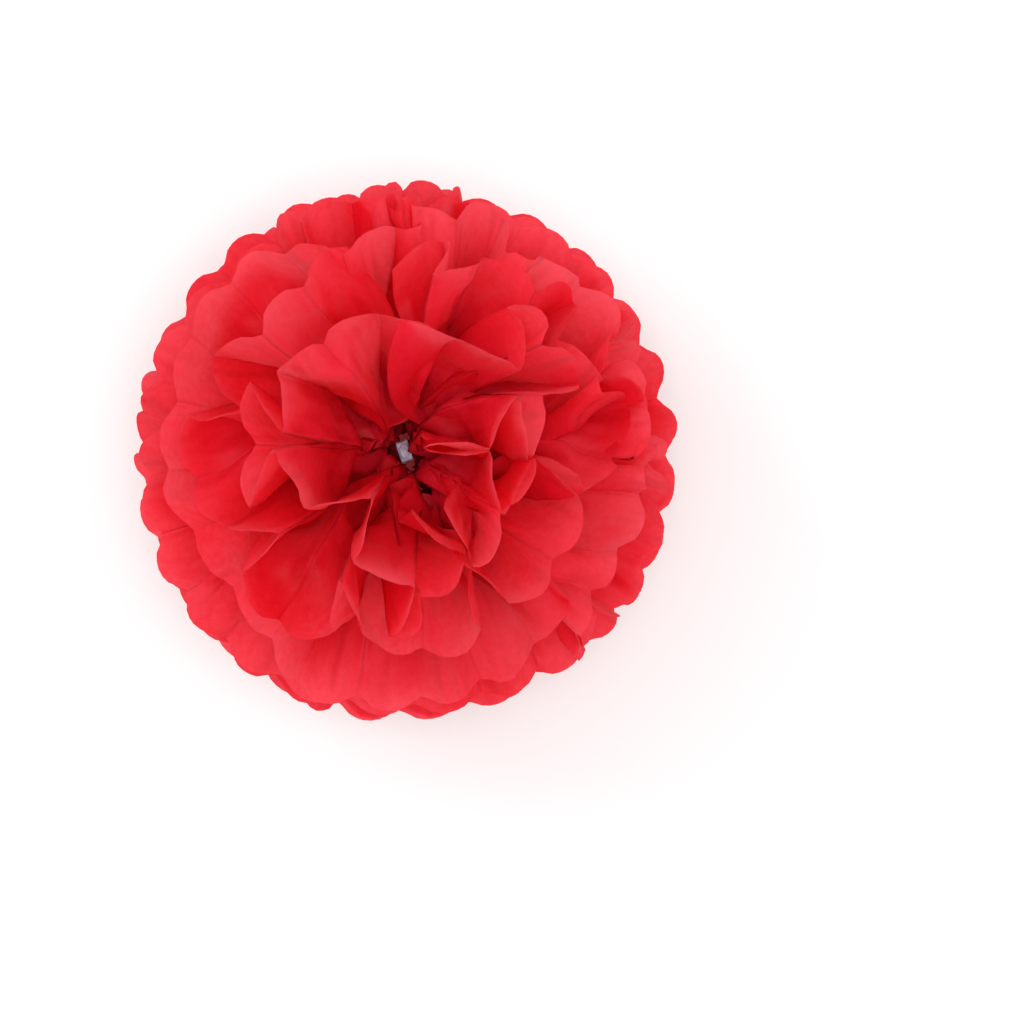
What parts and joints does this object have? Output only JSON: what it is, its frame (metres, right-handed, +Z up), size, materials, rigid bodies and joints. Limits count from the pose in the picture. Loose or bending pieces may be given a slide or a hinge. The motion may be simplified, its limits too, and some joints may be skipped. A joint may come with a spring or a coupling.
{
  "type": "tissue paper pom pom",
  "caption": "Round pleated tissue paper pom pom with scalloped petals in lifted layers, tied at the waist with a ribbon.",
  "frame": {"origin": "on the surface it rests on, straight under the tie", "axes": "+Z up through the tie from pole to pole, +X along the folds at the tie, +Y along the two open seams"},
  "size_m": [0.2974, 0.2978, 0.2667],
  "materials": {
    "tissue": "thin matte translucent red tissue",
    "ribbon": "white satin with a soft sheen"
  },
  "bodies": {
    "root": {"tissue_up_1": "tissue", "tissue_up_2": "tissue", "tissue_up_3": "tissue", "tissue_up_4": "tissue", "tissue_up_5": "tissue", "tissue_down_1": "tissue", "tissue_down_2": "tissue", "tissue_down_3": "tissue", "tissue_down_4": "tissue", "tissue_down_5": "tissue", "tie_ribbon": "ribbon"}
  },
  "joints": []
}
